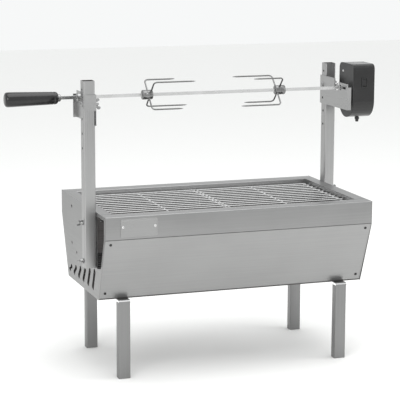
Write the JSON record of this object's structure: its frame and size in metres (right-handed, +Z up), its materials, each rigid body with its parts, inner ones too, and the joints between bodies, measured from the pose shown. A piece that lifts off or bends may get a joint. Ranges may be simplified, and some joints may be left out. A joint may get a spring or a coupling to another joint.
{
  "type": "charcoal spit roaster",
  "caption": "Charcoal spit roaster: folded steel trough on channel legs with grill grates, two posts, a square spit with sliding forks, a black grip and a gear motor.",
  "frame": {"origin": "bottom centre of the bounding box, on the ground between the legs", "axes": "+X along the spit from the grip to the motor, +Y to the rear, +Z up"},
  "size_m": [1.004, 0.4251, 0.772],
  "materials": {
    "brushed_stainless": "satin sheet with a lengthwise grain",
    "leg_stainless": "satin sheet",
    "chromed_steel": "polished",
    "grate_wire": "bright drawn wire",
    "charcoal_grate_wire": "dull drawn wire",
    "black_gloss_plastic": "glossy black",
    "black_matt_plastic": "fine matt black",
    "brass_gear": "machined"
  },
  "bodies": {
    "trough": {"front_apron": "brushed_stainless", "rear_apron": "brushed_stainless", "front_panel": "brushed_stainless", "rear_panel": "brushed_stainless", "left_end_panel": "brushed_stainless", "right_end_panel": "brushed_stainless", "floor_pan": "brushed_stainless", "left_post": "brushed_stainless", "right_post": "brushed_stainless", "left_spit_bracket": "brushed_stainless", "right_motor_bracket": "brushed_stainless", "motor_can": "brushed_stainless", "name_plate": "brushed_stainless", "front_left_leg": "leg_stainless", "front_right_leg": "leg_stainless", "rear_left_leg": "leg_stainless", "rear_right_leg": "leg_stainless", "left_post_upper_bolt": "chromed_steel", "left_post_lower_bolt": "chromed_steel", "right_post_upper_bolt": "chromed_steel", "right_post_lower_bolt": "chromed_steel", "left_bracket_bolt": "chromed_steel", "right_bracket_bolt": "chromed_steel", "motor_spacer_front": "chromed_steel", "motor_spacer_rear": "chromed_steel", "panel_screw_left_upper": "chromed_steel", "panel_screw_left_lower": "chromed_steel", "panel_screw_right_upper": "chromed_steel", "panel_screw_right_lower": "chromed_steel", "motor_housing": "black_gloss_plastic", "motor_cover": "black_matt_plastic", "cord_gland": "black_matt_plastic"},
    "spit": {"spit_rod": "chromed_steel", "handle_grip": "black_gloss_plastic", "handle_ferrule": "chromed_steel", "spit_bearing": "chromed_steel", "drive_sleeve": "chromed_steel", "output_gear": "brass_gear"},
    "pinion": {"motor_pinion": "brass_gear"},
    "left_fork": {"left_fork": "chromed_steel"},
    "right_fork": {"right_fork": "chromed_steel"},
    "left_fork_screw": {"left_fork_screw": "chromed_steel"},
    "right_fork_screw": {"right_fork_screw": "chromed_steel"},
    "grate_left": {"grill_grate_left": "grate_wire"},
    "grate_right": {"grill_grate_right": "grate_wire"},
    "coal_grate": {"charcoal_grate": "charcoal_grate_wire"},
    "switch": {"power_switch": "black_gloss_plastic"},
    "left_post_upper_nut": {"left_post_upper_wing_nut": "chromed_steel"},
    "left_post_lower_nut": {"left_post_lower_wing_nut": "chromed_steel"},
    "right_post_upper_nut": {"right_post_upper_wing_nut": "chromed_steel"},
    "right_post_lower_nut": {"right_post_lower_wing_nut": "chromed_steel"},
    "left_bracket_nut": {"left_bracket_wing_nut": "chromed_steel"},
    "right_bracket_nut": {"right_bracket_wing_nut": "chromed_steel"}
  },
  "joints": [
    {"name": "spit_spin", "type": "hinge", "parent": "trough", "child": "spit", "pos_m": [0.061, 0, 0.7067], "axis": [1, 0, 0], "continuous": true},
    {"name": "pinion_spin", "type": "hinge", "parent": "trough", "child": "pinion", "pos_m": [0.446, 0, 0.7421], "axis": [1, 0, 0], "continuous": true},
    {"name": "left_fork_slide", "type": "slide", "parent": "spit", "child": "left_fork", "axis": [1, 0, 0], "range_m": [-0.13, 0.05]},
    {"name": "right_fork_slide", "type": "slide", "parent": "spit", "child": "right_fork", "axis": [1, 0, 0], "range_m": [-0.05, 0.13]},
    {"name": "left_fork_screw_turn", "type": "hinge", "parent": "left_fork", "child": "left_fork_screw", "pos_m": [-0.1305, 0, 0.7067], "axis": [0, -1, 0], "continuous": true},
    {"name": "right_fork_screw_turn", "type": "hinge", "parent": "right_fork", "child": "right_fork_screw", "pos_m": [0.2495, 0, 0.7067], "axis": [0, 1, 0], "continuous": true},
    {"name": "grate_left_lift", "type": "slide", "parent": "trough", "child": "grate_left", "axis": [0, 0, 1], "range_m": [0, 0.12]},
    {"name": "grate_right_lift", "type": "slide", "parent": "trough", "child": "grate_right", "axis": [0, 0, 1], "range_m": [0, 0.12]},
    {"name": "coal_grate_lift", "type": "slide", "parent": "trough", "child": "coal_grate", "axis": [0, 0, 1], "range_m": [0, 0.1]},
    {"name": "switch_rock", "type": "hinge", "parent": "trough", "child": "switch", "pos_m": [0.473, -0.043, 0.723], "axis": [1, 0, 0], "range_deg": [0, 12]},
    {"name": "left_post_upper_nut_turn", "type": "hinge", "parent": "trough", "child": "left_post_upper_nut", "pos_m": [-0.3326, -0.1185, 0.404], "axis": [-1, 0, 0], "continuous": true},
    {"name": "left_post_lower_nut_turn", "type": "hinge", "parent": "trough", "child": "left_post_lower_nut", "pos_m": [-0.3326, -0.1185, 0.305], "axis": [-1, 0, 0], "continuous": true},
    {"name": "right_post_upper_nut_turn", "type": "hinge", "parent": "trough", "child": "right_post_upper_nut", "pos_m": [0.4546, 0.1185, 0.404], "axis": [1, 0, 0], "continuous": true},
    {"name": "right_post_lower_nut_turn", "type": "hinge", "parent": "trough", "child": "right_post_lower_nut", "pos_m": [0.4546, 0.1185, 0.305], "axis": [1, 0, 0], "continuous": true},
    {"name": "left_bracket_nut_turn", "type": "hinge", "parent": "trough", "child": "left_bracket_nut", "pos_m": [-0.2997, -0.1185, 0.7028], "axis": [1, 0, 0], "continuous": true},
    {"name": "right_bracket_nut_turn", "type": "hinge", "parent": "trough", "child": "right_bracket_nut", "pos_m": [0.4546, 0.1185, 0.7028], "axis": [1, 0, 0], "continuous": true}
  ],
  "couplings": [
    {"joint": "pinion_spin", "follows": "spit_spin", "ratio": -4}
  ]
}
